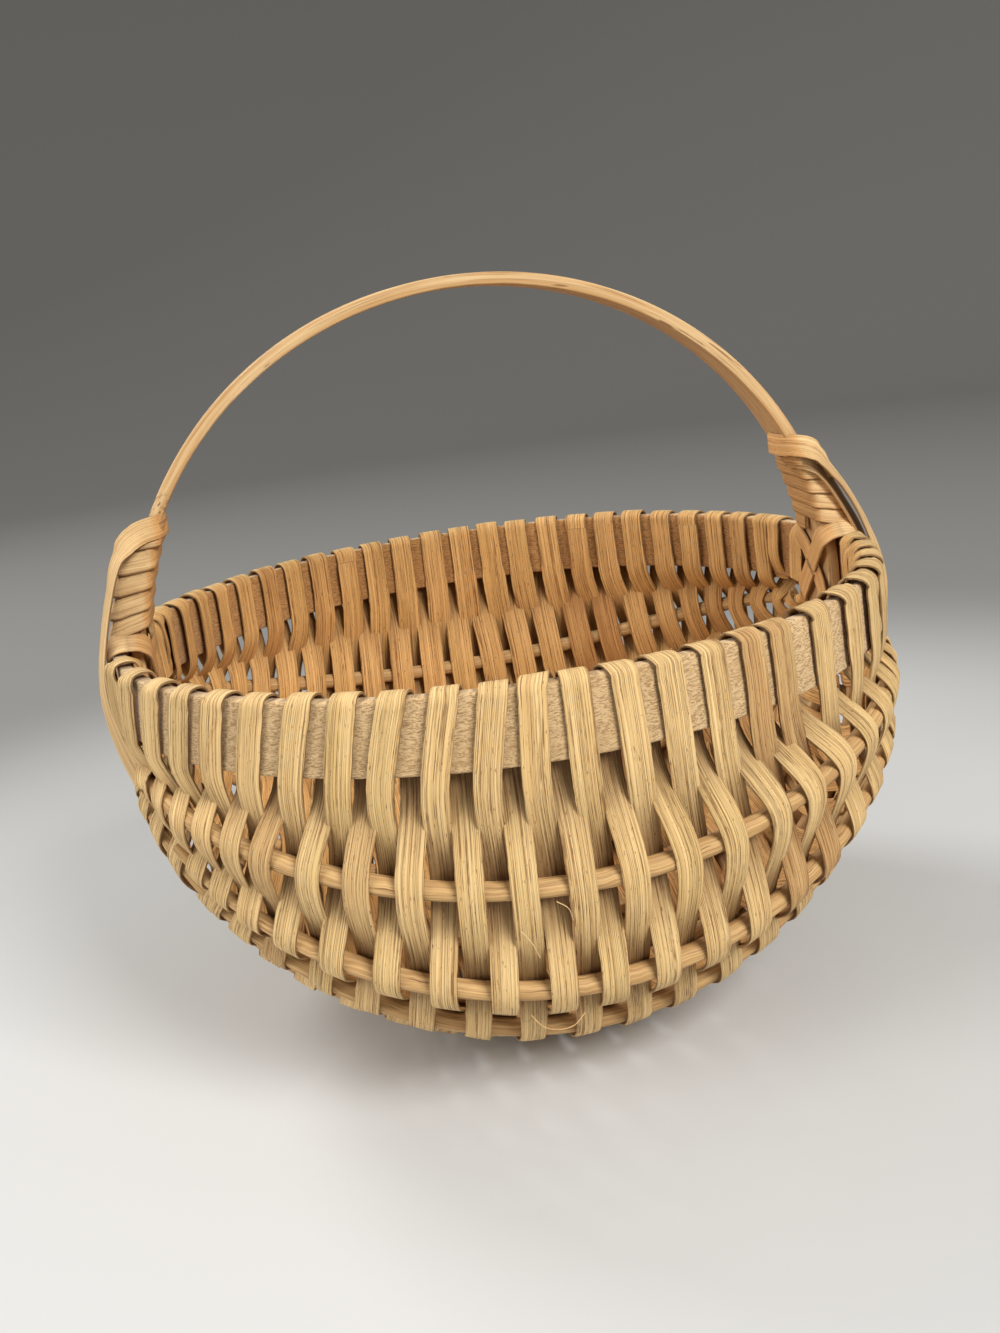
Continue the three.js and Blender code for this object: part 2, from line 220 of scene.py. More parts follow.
def rib_radius(r, a):
    f = min(max((r["stop"] - abs(a)) / RIB_TAPER, 0), 1)
    return (RIB_TIP + (RIB_DIAMETER - RIB_TIP) * f) / 2


def ear_spot(r, side, ear, reach):
    """The spot on a long rib that lies so far from the middle of an ear."""
    if reach <= RIB_FAN:
        out, drop = math.cos(r["fan"]) * reach, math.sin(r["fan"]) * reach
        return Vector((ear * r["x"], side * out, RIM_MID - drop))
    low, high = math.radians(50), math.radians(90)
    for _ in range(30):
        a = (low + high) / 2
        spot = rib_point(r, side, ear * a)
        if math.hypot(spot.y, spot.z - RIM_MID) > reach:
            low = a
        else:
            high = a
    return rib_point(r, side, ear * low)


def hoop_point(a):
    return Vector((HOOP_X * math.sin(a), 0, HOOP_MID - HOOP_Z * math.cos(a)))


def hoop_along(a):
    return hoop_point(a + SLIGHT) - hoop_point(a - SLIGHT)


def hoop_out(a):
    return Vector((HOOP_Z * math.sin(a), 0, -HOOP_X * math.cos(a))).normalized()


def hoop_turn(z):
    return math.pi - math.acos((z - HOOP_MID) / HOOP_Z)


def rim_point(side, a):
    return Vector((RIM_X * math.sin(a), side * RIM_Y * math.cos(a), RIM_MID))


def rim_along(side, a):
    return rim_point(side, a + SLIGHT) - rim_point(side, a - SLIGHT)


def rim_out(side, a):
    return Vector((RIM_Y * math.sin(a), side * RIM_X * math.cos(a), 0)).normalized()


def rim_angle(side, t):
    u = t / SIDE_ROWS
    if side == BACK:
        return BACK_REACH * u
    return RIM_REACH * (0.8 * u + 0.2 * u ** 3)


def row_angle(t, reach):
    return ROW_STEP * t + (reach - ROW_STEP * SIDE_ROWS) * (t / SIDE_ROWS) ** 3


def straw(r, g, b):
    """A colour as a painter mixes it, 0 to 255, turned to light values."""
    out = []
    for v in (r, g, b):
        v /= 255
        out.append(v / 12.92 if v <= 0.04045 else ((v + 0.055) / 1.055) ** 2.4)
    return (*out, 1.0)


class Wire:
    """A value inside a finish: sums with it add Math nodes."""

    def __init__(self, finish, socket):
        self.finish = finish
        self.socket = socket

    def sum(self, operation, a, b):
        return self.finish.wire("ShaderNodeMath", {"operation": operation}, {0: a, 1: b})

    def __add__(self, other):
        return self.sum("ADD", self, other)

    def __radd__(self, other):
        return self.sum("ADD", other, self)

    def __sub__(self, other):
        return self.sum("SUBTRACT", self, other)

    def __rsub__(self, other):
        return self.sum("SUBTRACT", other, self)

    def __mul__(self, other):
        return self.sum("MULTIPLY", self, other)

    def __rmul__(self, other):
        return self.sum("MULTIPLY", other, self)

    def __pow__(self, other):
        return self.sum("POWER", self, other)

    def __abs__(self):
        return self.sum("ABSOLUTE", self, 0.0)

    def band(self, low, high):
        """Nought below low, one above high, smooth between."""
        settings = {"interpolation_type": "SMOOTHSTEP"}
        sockets = {0: self, 1: low, 2: high, 3: 0.0, 4: 1.0}
        return self.finish.wire("ShaderNodeMapRange", settings, sockets)


class Finish:
    """One material, built from nodes."""

    def __init__(self, name):
        self.material = bpy.data.materials.new(name)
        self.material.use_nodes = True
        self.tree = self.material.node_tree
        self.shader = self.tree.nodes["Principled BSDF"]

    def node(self, kind, settings=None, sockets=None):
        made = self.tree.nodes.new(kind)
        for key, value in (settings or {}).items():
            setattr(made, key, value)
        for key, value in (sockets or {}).items():
            if isinstance(value, Wire):
                self.tree.links.new(value.socket, made.inputs[key])
            else:
                made.inputs[key].default_value = value
        return made

    def wire(self, kind, settings=None, sockets=None, out=0):
        return Wire(self, self.node(kind, settings, sockets).outputs[out])

    def grain(self):
        """The three parts of a piece's own grain: along, across and tone."""
        spot = self.wire("ShaderNodeAttribute", {"attribute_name": "reed"}, None, "Vector")
        split = self.node("ShaderNodeSeparateXYZ", None, {0: spot})
        return [Wire(self, s) for s in split.outputs]

    def noise(self, x, y, layer, detail=2.0, rough=0.5):
        spot = self.wire("ShaderNodeCombineXYZ", None, {0: x, 1: y, 2: layer})
        sockets = {"Vector": spot, "Scale": 1.0, "Detail": detail, "Roughness": rough}
        return self.wire("ShaderNodeTexNoise", None, sockets)

    def blend(self, factor, a, b, kind="MIX"):
        settings = {"data_type": "RGBA", "blend_type": kind, "clamp_factor": True}
        return self.wire("ShaderNodeMix", settings, {0: factor, 6: a, 7: b}, 2)

    def place(self, part="Object"):
        return self.wire("ShaderNodeTexCoord", None, None, part)

    def vector_sum(self, operation, a, b, out="Vector"):
        return self.wire("ShaderNodeVectorMath", {"operation": operation}, {0: a, 1: b}, out)

    def inner(self):
        """One on faces that look into the basket, nought on the rest: the mask for the painted
        shade inside.
        """
        away = self.vector_sum("SUBTRACT", self.place(), (0, 0, RIM_MID))
        look = self.vector_sum("DOT_PRODUCT", away, self.place("Normal"), "Value")
        return 1.0 - look.band(-0.03, 0.0)

    def finish(self, colour, roughness, height, depth, sheen=0.0):
        sockets = {"Strength": 1.0, "Distance": depth, "Height": height}
        bump = self.wire("ShaderNodeBump", None, sockets)
        self.shader.inputs["Specular IOR Level"].default_value = 0.35
        self.shader.inputs["Sheen Weight"].default_value = sheen
        self.tree.links.new(colour.socket, self.shader.inputs["Base Color"])
        self.tree.links.new(roughness.socket, self.shader.inputs["Roughness"])
        self.tree.links.new(bump.socket, self.shader.inputs["Normal"])
        return self.material


# Painted shade: what the faces that look into the basket keep of the outside's colour, darker and
# warmer as if in the basket's shade
INNER_PAINTED_SHADE = straw(255, 235, 212)
INNER_RIM_PAINTED_SHADE = straw(228, 200, 168)
# Painted shade: the brown that strips darken towards at hidden crossings, in nooks and along their
# edges
PAINTED_SHADE_BROWN = straw(96, 56, 24)
# The brown of a dark stain on the handle
STAIN_BROWN = straw(64, 42, 26)
# The middle of a dark stain on the handle, just above the left winding
HANDLE_STAIN = (-0.0618, -0.006, 0.1092)


def reed_finish(name, pale, deep, line, warm, green, strength):
    """Flat reed: fibre lines along the strip, specks and changes of tone, with painted shade on its
    edges and in its nooks.
    """
    f = Finish(name)
    along, across, tone = f.grain()
    painted_shade = f.wire("ShaderNodeAttribute", {"attribute_name": "painted_shade"}, None, "Fac")
    ridges = f.noise(along * 13.0, across * 2100.0, 0.0, 2.0, 0.55)
    fibres = f.noise(along * 36.0, across * 6400.0, 7.0, 2.0, 0.6)
    wander = f.noise(along * 8.0, across * 1900.0, 19.0, 1.0)
    second = f.noise(along * 13.0, across * 3000.0, 57.0, 1.0)
    broad = f.noise(along * 42.0, across * 300.0, 31.0, 3.0, 0.55)
    flecks = f.noise(along * 620.0, across * 3000.0, 43.0, 2.0, 0.6)
    patches = f.noise(along * 210.0, across * 1100.0, 71.0, 2.0, 0.6).band(0.38, 0.62)
    lines = (1.0 - abs(wander - 0.5).band(0.008, 0.04)) * (patches * 0.75 + 0.25)
    thin = (1.0 - abs(second - 0.46).band(0.004, 0.03)) * (1.0 - patches * 0.7)
    body = f.blend(ridges.band(0.3, 0.66), deep, pale)
    body = f.blend(fibres.band(0.5, 0.7) * (0.5 * strength), body, deep)
    reddened = (broad.band(0.3, 0.6) * 0.5 + 0.35) * tone.band(0.72, 0.95)
    body = f.blend(reddened, body, warm)
    body = f.blend(broad.band(0.48, 0.72) * 0.3, body, warm)
    greened = broad.band(0.35, 0.65) * (1.0 - tone.band(0.1, 0.45)) * 0.3
    body = f.blend(greened, body, green)
    body = f.blend(lines * (0.82 * strength), body, line)
    body = f.blend(thin * (0.7 * strength), body, line)
    body = f.blend(flecks.band(0.64, 0.72) * (0.85 * strength), body, line)
    # Painted shade: faces that look into the basket are darkened and warmed
    body = f.blend(f.inner() * 0.9, body, INNER_PAINTED_SHADE, "MULTIPLY")
    # Painted shade: darken towards brown where the strip is hidden, in a nook or at its edges
    body = f.blend(painted_shade ** 1.8 * 0.71, body, PAINTED_SHADE_BROWN)
    height = ridges * 0.5 + fibres * 0.4 - lines * 0.6 - thin * 0.4
    roughness = 0.54 + ridges * 0.16 + fibres * 0.14
    return f.finish(body, roughness, height, 0.00018 * strength)


def rod_finish(name, pale, deep, line, stain=None):
    """Round reed and bent wood: grain along the piece, darker pores and worn lights."""
    f = Finish(name)
    along, across, tone = f.grain()
    grain = f.noise(along * 30.0, across * 1500.0, tone, 3.0, 0.6)
    fine = f.noise(along * 60.0, across * 4600.0, tone + 5.0, 2.0, 0.6)
    broad = f.noise(along * 45.0, across * 200.0, tone + 11.0)
    pores = f.noise(along * 150.0, across * 2600.0, tone + 23.0, 1.0)
    body = f.blend(grain.band(0.35, 0.68), deep, pale)
    body = f.blend(broad.band(0.45, 0.75) * 0.5, body, deep)
    body = f.blend(fine.band(0.53, 0.7) * 0.5, body, line)
    body = f.blend(pores.band(0.68, 0.76) * 0.7, body, line)
    if stain:
        away = f.vector_sum("DISTANCE", f.place(), stain, "Value")
        blots = f.noise(along * 900.0, across * 1700.0, 3.0, 2.0, 0.6).band(0.5, 0.64)
        body = f.blend((1.0 - away.band(0.0012, 0.004)) * blots * 0.7, body, STAIN_BROWN)
    height = grain * 0.8 + fine * 0.4 - pores.band(0.66, 0.76) * 0.4
    roughness = 0.46 + grain * 0.2 + fine * 0.15
    return f.finish(body, roughness, height, 0.00015)


def splint_finish(name, pale, deep, fuzzy, warm):
    """The rim splint: a pale, scraped face with short curled fibres like suede."""
    f = Finish(name)
    along, across, tone = f.grain()
    curl = f.noise(along * 420.0, across * 420.0, tone) * 5.0
    nap = f.noise(along * 1500.0 + curl, across * 5200.0 + curl, tone, 2.0, 0.6)
    fuzz = f.noise(along * 6200.0, across * 4200.0, tone + 4.0, 2.0, 0.6)
    broad = f.noise(along * 60.0, across * 160.0, tone + 9.0)
    body = f.blend(nap.band(0.36, 0.6), deep, pale)
    body = f.blend(fuzz.band(0.5, 0.75) * 0.4, body, fuzzy)
    body = f.blend(broad.band(0.45, 0.75) * 0.35, body, warm)
    # Painted shade: faces that look into the basket are darkened and warmed
    body = f.blend(f.inner(), body, INNER_RIM_PAINTED_SHADE, "MULTIPLY")
    roughness = 0.8 + nap * 0.18
    return f.finish(body, roughness, nap * 0.9 + fuzz * 0.5, 0.00016, 0.15)


WEAVER_REED = reed_finish(
    "split_weaver_reed",
    pale=straw(240, 205, 145),
    deep=straw(219, 178, 116),
    line=straw(130, 84, 42),
    warm=straw(192, 146, 92),
    green=straw(220, 190, 120),
    strength=1.0,
)
EAR_REED = reed_finish(
    "lashing_reed",
    pale=straw(236, 200, 145),
    deep=straw(214, 171, 115),
    line=straw(126, 82, 42),
    warm=straw(196, 138, 84),
    green=straw(220, 186, 122),
    strength=0.5,
)
RIB_REED = rod_finish(
    "round_rib_reed",
    pale=straw(218, 178, 120),
    deep=straw(182, 140, 88),
    line=straw(108, 70, 38),
)
HANDLE_WOOD = rod_finish(
    "honey_handle_wood",
    pale=straw(220, 186, 136),
    deep=straw(198, 154, 100),
    line=straw(126, 84, 44),
    stain=HANDLE_STAIN,
)
RIM_WOOD = splint_finish(
    "scraped_rim_splint",
    pale=straw(222, 188, 139),
    deep=straw(166, 129, 84),
    fuzzy=straw(230, 202, 154),
    warm=straw(192, 154, 104),
)


def deselect():
    if bpy.context.object and bpy.context.object.mode != "OBJECT":
        bpy.ops.object.mode_set(mode="OBJECT")
    bpy.ops.object.select_all(action="DESELECT")


def settle(piece, material, slot, *nodes):
    """Give a finished piece its material, its body and the CAD nodes it stands for."""
    piece.data.materials.clear()
    piece.data.materials.append(material)
    deselect()
    piece.select_set(True)
    bpy.context.view_layer.objects.active = piece
    bpy.ops.object.shade_smooth_by_angle(angle=math.radians(50))
    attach(piece, "root")
    if nodes:
        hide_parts(*nodes)


def station(p, across, width, tone, out, crest):
    """A place on a reed's run; crest is 1 where its outer face lies open, -1 where it is hidden,
    and sets the painted shade on each face.
    """
    return {"p": p, "across": across, "width": width, "tone": tone, "out": out, "crest": crest}


def smooth_run(stations, step):
    """Stations close together on one smooth curve through the given ones."""
    n = len(stations)
    spots = [s["p"] for s in stations]
    gaps = [max((spots[i + 1] - spots[i]).length, 1e-7) for i in range(n - 1)]
    ways = [(spots[i + 1] - spots[i]) / gaps[i] for i in range(n - 1)]
    slopes = [ways[0]]
    for i in range(1, n - 1):
        both = gaps[i] + gaps[i - 1]
        slopes.append((ways[i - 1] * gaps[i] + ways[i] * gaps[i - 1]) / both)
    slopes.append(ways[-1])
    out = []
    for i in range(n - 1):
        g = gaps[i]
        bend = slopes[i].angle(slopes[i + 1], 0.0)
        count = max(1, math.ceil(g / step), math.ceil(bend / MOST_BEND))
        a, b = stations[i], stations[i + 1]
        same = -1 if a["out"].dot(b["out"]) < 0 else 1
        for k in range(count + (1 if i == n - 2 else 0)):
            t = k / count
            h = t * t * (3 - 2 * t)
            p = spots[i] * (1 - h) + spots[i + 1] * h
            p = p + slopes[i] * (g * t * (1 - t) ** 2) - slopes[i + 1] * (g * t * t * (1 - t))
            out.append(station(
                p,
                a["across"].normalized().lerp(b["across"].normalized(), h),
                a["width"] + (b["width"] - a["width"]) * h,
                a["tone"] + (b["tone"] - a["tone"]) * h,
                a["out"].lerp(b["out"] * same, h),
                a["crest"] + (b["crest"] * same - a["crest"]) * h,
            ))
    return out


def flat_section(edge):
    """A flat reed's section, crowned on both faces, from the curve of one edge."""
    crown = edge + [(0.0, 1.0)] + [(-u, v) for u, v in reversed(edge[1:])]
    return crown + [(-u, -v) for u, v in crown]


FLAT_REED = flat_section([(1.0, 0.0), (0.985, 0.55), (0.9, 0.84), (0.55, 0.96)])
SOFT_REED = flat_section([(1.0, 0.0), (0.97, 0.4), (0.9, 0.66), (0.76, 0.82), (0.5, 0.95)])
ROUND_REED = [(math.cos(k * math.pi / 7), math.sin(k * math.pi / 7)) for k in range(14)]
# Where the grain of a flat reed's other face lies, beside that of the first
OTHER_FACE = 0.011


def reed_rings(run, thick, section, edge, edge_start, start, rough):
    """For each station a ring of spots with grain and painted shade; with no thickness it is round.
    """
    sides = len(section)
    length = start
    rings = []
    for i, s in enumerate(run):
        before = run[max(i - 1, 0)]["p"]
        after = run[min(i + 1, len(run) - 1)]["p"]
        way = (after - before).normalized()
        across = (s["across"] - way * way.dot(s["across"])).normalized()
        face = way.cross(across)
        if i:
            length += (s["p"] - run[i - 1]["p"]).length
        half = s["width"] / 2 * (1 + rough.uniform(-ROUGH_EDGE, ROUGH_EDGE))
        deep = (s["width"] if thick is None else thick) / 2
        ring = []
        for k in range(sides + 1):
            u, v = section[k % sides]
            spot = s["p"] + across * (u * half) + face * (v * deep)
            if thick is None:
                ring.append((spot, (length, half * 2 * math.pi * k / sides, s["tone"]), 0.0))
                continue
            # Painted shade: a face turned from the open side, a hidden stretch and the strip's
            # edges are darkened
            open_side = face.dot(s["out"]) * v > 0
            painted_shade = (1 - s["crest"]) / 2 if open_side else (1 + s["crest"]) / 2
            painted_shade = max(painted_shade, edge * ease(abs(u), edge_start, EDGE_END))
            grain_across = u * half if v >= 0 else OTHER_FACE - u * half
            ring.append((spot, (length, grain_across, s["tone"]), painted_shade))
        rings.append(ring)
    return rings


def roll_reed(
    name, run, thick=STRIP_THICK, section=FLAT_REED, edge=EDGE_SHADE, edge_start=EDGE_START
):
    """A sheet of grid rolled into one long reed of the given section and closed at its ends."""
    n = len(run)
    sides = len(section)
    deselect()
    bpy.ops.mesh.primitive_grid_add(x_subdivisions=n - 1, y_subdivisions=sides, size=2)
    piece = bpy.context.object
    piece.name = name
    piece.data.name = name
    start = chance.uniform(0, 5)
    rings = reed_rings(run, thick, section, edge, edge_start, start, random.Random(name))
    piece.data.attributes.new("reed", "FLOAT_VECTOR", "POINT")
    piece.data.attributes.new("painted_shade", "FLOAT", "POINT")
    spots = []
    grain = []
    shade = []
    verts = piece.data.vertices
    for v in verts:
        i = round((v.co.x + 1) / 2 * (n - 1))
        k = round((v.co.y + 1) / 2 * sides)
        p, g, d = rings[i][k]
        spots.extend(p)
        grain.extend(g)
        shade.append(d)
    verts.foreach_set("co", spots)
    piece.data.attributes["reed"].data.foreach_set("vector", grain)
    piece.data.attributes["painted_shade"].data.foreach_set("value", shade)
    bpy.ops.object.mode_set(mode="EDIT")
    bpy.ops.mesh.select_all(action="SELECT")
    bpy.ops.mesh.remove_doubles(threshold=1e-7)
    bpy.ops.mesh.select_mode(type="EDGE")
    bpy.ops.mesh.select_all(action="DESELECT")
    bpy.ops.mesh.select_non_manifold(extend=False)
    bpy.ops.mesh.fill_holes(sides=0)
    bpy.ops.mesh.select_all(action="SELECT")
    bpy.ops.mesh.normals_make_consistent(inside=False)
    bpy.ops.object.mode_set(mode="OBJECT")
    return piece


def bend_band(name, half_length, half_width, level, height, thick, bevel, middle):
    """A flat splint bent into a closed oval hoop that lies level or stands on edge."""
    deselect()
    turn = (0, 0, 0) if level else (math.pi / 2, 0, 0)
    bpy.ops.mesh.primitive_cylinder_add(
        vertices=HOOP_FACETS, radius=1, depth=height, end_fill_type="NOTHING", rotation=turn
    )
    piece = bpy.context.object
    piece.name = name
    piece.data.name = name
    bpy.ops.object.transform_apply(location=False, rotation=True, scale=False)
    bpy.ops.object.mode_set(mode="EDIT")
    bpy.ops.mesh.select_all(action="SELECT")
    size = (half_length, half_width, 1) if level else (half_length, 1, half_width)
    bpy.ops.transform.resize(value=size)
    bpy.ops.mesh.subdivide(number_cuts=1)
    bpy.ops.transform.translate(value=(0, 0, middle))
    bpy.ops.object.mode_set(mode="OBJECT")
    wall = piece.modifiers.new("splint", "SOLIDIFY")
    wall.thickness = thick
    wall.offset = 0
    wall.use_even_offset = True
    soft = piece.modifiers.new("worn_edges", "BEVEL")
    soft.width = bevel
    soft.segments = 3
    soft.limit_method = "ANGLE"
    soft.angle_limit = math.radians(40)
    bpy.ops.object.modifier_apply(modifier="splint")
    bpy.ops.object.modifier_apply(modifier="worn_edges")
    marks = piece.data.attributes.new("reed", "FLOAT_VECTOR", "POINT")
    grain = []
    for v in piece.data.vertices:
        if level:
            a = math.atan2(v.co.y / half_width, v.co.x / half_length)
            deep = math.hypot(v.co.x, v.co.y)
            grain.extend((a * half_length, v.co.z, 0.4 + deep))
        else:
            x, z = v.co.x / half_length, (v.co.z - middle) / half_width
            deep = math.hypot(x, z) * half_length
            grain.extend((math.atan2(z, x) * half_length, v.co.y + deep * 0.6, 0.3))
    marks.data.foreach_set("vector", grain)
    return piece


def rib_crossing(i, side, a):
    r = RIBS[i]
    across = rib_point(r, side, a + SLIGHT) - rib_point(r, side, a - SLIGHT)
    return {"p": rib_point(r, side, a), "across": across, "half": rib_radius(r, a), "rim": False}


def crossing(m, kind, i, side):
    """Where row m crosses the rim, rib i or the keel, before it is lifted over or under."""
    if kind == "rib":
        where = i + 1 if side == FRONT else BACK_RIM_AT - i - 1
        return rib_crossing(i, side, row_angle(row_place(m, where), RIBS[i]["reach"]))
    if kind == "keel":
        a = row_angle(row_place(m, KEEL_AT), KEEL_REACH)
        p = hoop_point(a)
        p.y = side * (HANDLE_WIDTH / 2 - FIT)
        across, half, out = hoop_along(a), HANDLE_THICK / 2, hoop_out(a)
    else:
        a = rim_angle(side, row_place(m, FRONT_RIM_AT if side == FRONT else BACK_RIM_AT))
        p = rim_point(side, a)
        p.z = RIM_LOW - FIT
        across, half, out = rim_along(side, a), RIM_THICK / 2, rim_out(side, a)
    return {"p": p, "across": across, "half": half, "out": out, "rim": kind == "rim"}


# How far a strip behind a rib is pulled straight between its neighbours
PULLED_STRAIGHT = 0.4


def crossings(m):
    """All that row m crosses, from the front rim to the back rim."""
    numbers = LONG_RIBS if abs(m) > LAST_ROW - EAR_ROWS else list(range(len(RIBS)))
    kinds = [("rim", 0, FRONT)] + [("rib", i, FRONT) for i in numbers]
    kinds += [("keel", 0, FRONT), ("keel", 0, BACK)]
    kinds += [("rib", i, BACK) for i in reversed(numbers)] + [("rim", 0, BACK)]
    spots = [crossing(m, *kind) for kind in kinds]
    keel = len(numbers) + 1
    for k, s in enumerate(spots):
        count = k if k <= keel else k - 1
        s["over"] = 1 if (m + count) % 2 == 0 else -1
    for k, (kind, i, side) in enumerate(kinds):
        if kind == "rib" and spots[k]["over"] < 0:
            before, here, after = (spots[n]["p"] for n in (k - 1, k, k + 1))
            share = (here - before).length / ((here - before).length + (after - here).length)
            straight = before.x + (after.x - before.x) * share
            x = here.x + (straight - here.x) * PULLED_STRAIGHT
            a = math.asin(min(max(x / RIBS[i]["x"], -0.99), 0.99))
            spots[k].update(rib_crossing(i, side, a))
    for k, s in enumerate(spots):
        s["across"].normalize()
        if "out" in s:
            continue
        way = spots[k + 1]["p"] - spots[k - 1]["p"]
        s["out"] = way.cross(s["across"]).normalized()
        if s["out"].dot(s["p"] - Vector((0, 0, RIM_MID))) < 0:
            s["out"].negate()
    return spots


# How much broader strips and wraps are at the back, and front wraps towards the right ear
BACK_STRIP_BROADER = 0.26
BACK_WRAP_BROADER = 0.15
RIGHT_WRAP_BROADER = 0.26
# The share of the room between two strips that a strip may fill
SHARE_OF_ROOM = 0.74


def edge_lift(m):
    """How far a wrap's edge towards the ear stands off the rim: more near the ears."""
    most = 0.04 if m > 0 else -0.26
    return math.copysign(0.04, m) + most * (m / SIDE_ROWS) ** 2


def wrap_width(m, side):
    """A wrap's width: broader at the back, and at the front towards the right ear."""
    broader = RIGHT_WRAP_BROADER * ease(m, 8, 14) if side == FRONT else BACK_WRAP_BROADER
    return STRIP_WIDTH * (1 + broader)


def over_loops(m, side):
    """The room that a wrap at the front leaves for the loops beside the right ear."""
    return 0.75 * STRIP_THICK * ease(m, 11, 15) if side == FRONT else 0


def stand_off(m, side):
    """How far a wrap's middle line lies from the rim's own middle line."""
    edge = abs(edge_lift(m)) * wrap_width(m, side) / 2
    return RIM_THICK / 2 + TUCK + AIR + edge + over_loops(m, side)


def row_stations(m):
    """The stations of row m from front to back, hugging what it crosses."""
    here = crossings(m)
    sides = [crossings(k) for k in (m - 2, m + 2) if abs(k) <= LAST_ROW]
    sides = [s for s in sides if len(s) == len(here)]
    own = random.Random(900 + m)
    out = []
    for i, s in enumerate(here):
        near = [here[k]["p"] for k in (i - 1, i + 1) if 0 <= k < len(here)]
        ways = [(p - s["p"]).normalized() for p in near]
        gaps = [min((o[i]["p"] - s["p"]).cross(w).length for w in ways) for o in sides]
        broader = BACK_STRIP_BROADER if s["p"].y > 0 else 0.06 * ease(m, 2, 8)
        width = STRIP_WIDTH * (1 + broader)
        if s["rim"]:
            lean = s["over"] * edge_lift(m)
            lift = stand_off(m, math.copysign(1, s["p"].y))
        else:
            lean = own.uniform(-0.08, 0.08)
            lift = s["half"] + TUCK
            width = min([width] + [max(g * SHARE_OF_ROOM, NARROWEST_STRIP) for g in gaps])
        # Painted shade: over or under sets how dark each face of the strip is painted
        out.append(station(
            s["p"] + s["out"] * (s["over"] * lift),
            s["across"] + s["out"] * lean,
            width * own.uniform(0.97, 1.03),
            TONE[m],
            s["out"],
            s["over"],
        ))
    return out


# Where a wrap bends over the rim: below the top edge, at it, and in from the face on top
BEND_BELOW = 0.0022
BEND_AT = 0.0002
BEND_IN = 0.0009
# How far from the rim's middle line a strip's tucked end lies
TUCKED_END = 0.0004


def rim_turn(side, m, after):
    """The turn of a weaver over the rim from row m to the next one, from outside to inside."""
    where = FRONT_RIM_AT if side == FRONT else BACK_RIM_AT
    low, high = row_place(m, where), row_place(after, where)
    gain = wrap_lean(m) if side == FRONT else (after - m) * 0.45
    most = (high - low) * 0.9
    gain = min(max(gain, min(most / 2, 0)), max(most / 2, 0))
    top = low + 2 * gain
    tip = edge_lift(m)
    wide = wrap_width(m, side)
    own = random.Random(300 + m * side)
    loose = own.uniform(0.0001, 0.0004) * (1 - ease(m, 12, 16))
    crown = RIM_TOP + TUCK + loose + over_loops(m, side)
    face = stand_off(m, side) + own.uniform(0.00005, 0.00025)
    part_way_up = RIM_LOW + RIM_HEIGHT * 0.3
    below_edge = RIM_TOP - BEND_BELOW
    rise = Vector((0, 0, 1))

    def at(place, out, z, lift, open_up):
        a = rim_angle(side, place)
        way = rim_out(side, a)
        p = rim_point(side, a) + way * out
        p.z = z
        return station(
            p,
            rim_along(side, a).normalized() + way * lift,
            wide,
            TONE[m] if out > 0 else TONE[after],
            way * math.copysign(1, out) + rise * open_up,
            1,
        )

    def inside(share):
        return top + (high - top) * share

    turn = [
        at(low + gain * 0.6, face, part_way_up, tip, 0),
        at(low + gain * 1.65, face, below_edge, tip, 0),
        at(top, face - BEND_AT, RIM_TOP - AIR, tip / 2, 0.4),
        at(inside(0.12), face - BEND_IN, crown, 0, 2),
        at(inside(0.3), BEND_IN - face, crown, 0, 2),
        at(inside(0.42), BEND_AT - face, RIM_TOP - AIR, -tip / 2, 0.4),
        at(inside(0.55), -face, below_edge, -tip, 0),
        at(inside(0.88), -face, part_way_up, -tip, 0),
    ]
    if after == m:
        turn.append(at(high, -TUCKED_END, RIM_LOW - 2 * TUCK, 0, 0))
    return turn


def inward(a_station, side, step):
    """The same station a step further inside the rim."""
    moved = dict(a_station)
    moved["p"] = a_station["p"] - Vector((0, side * step, 0))
    return moved


def back_tail(m):
    """The end of a weaver that comes up inside the back rim, goes over it and is tucked under."""
    turn = list(reversed(rim_turn(BACK, m, m)[:-1]))
    end = dict(turn[-1])
    out = rim_out(BACK, rim_angle(BACK, row_place(m, BACK_RIM_AT)))
    end["p"] = end["p"] - out * (stand_off(m, BACK) - TUCKED_END)
    end["p"].z = RIM_LOW - 2 * TUCK
    return turn + [end]


def weave_side(ear):
    """One side's weaving from the ear to the middle, as separate weavers lapped inside the rim."""
    rows = [ear * m for m in range(LAST_ROW, -1 if ear < 0 else 0, -1)]
    share = math.ceil(len(rows) / WEAVERS_A_SIDE)
    first_step, second_step = STRIP_THICK, STRIP_THICK * 1.1
    weavers = [[]]
    for i, m in enumerate(rows):
        even = m % 2 == 0
        stations = row_stations(m)
        if even:
            stations.reverse()
        if i == 0:
            weavers[-1].extend(reversed(rim_turn(BACK, m, m)))
        weavers[-1].extend(stations)
        if i == len(rows) - 1:
            weavers[-1].extend(rim_turn(FRONT, m, m) if even else back_tail(m))
            break
        after = rows[i + 1]
        turn = rim_turn(FRONT, m, after) if even else list(reversed(rim_turn(BACK, after, m)))
        if (i + 1) % share:
            weavers[-1].extend(turn)
        elif even:
            weavers[-1].extend(turn)
            new_end = [inward(turn[-2], FRONT, second_step), inward(turn[-1], FRONT, first_step)]
            weavers.append(new_end)
        else:
            old_end = [inward(turn[0], BACK, first_step), inward(turn[1], BACK, second_step)]
            weavers[-1].extend(old_end)
            weavers.append([dict(stations[-1])] + turn)
    return weavers


def make_hoops():
    rim = bend_band("rim_splint", RIM_X, RIM_Y, True, RIM_HEIGHT, RIM_THICK, RIM_BEVEL, RIM_MID)
    settle(rim, RIM_WOOD, "rim_wood", "rim_hoop")
    handle = bend_band(
        "handle_and_keel", HOOP_X, HOOP_Z, False, HANDLE_WIDTH, HANDLE_THICK, HANDLE_BEVEL, HOOP_MID
    )
    settle(handle, HANDLE_WOOD, "handle_wood", "handle_hoop")


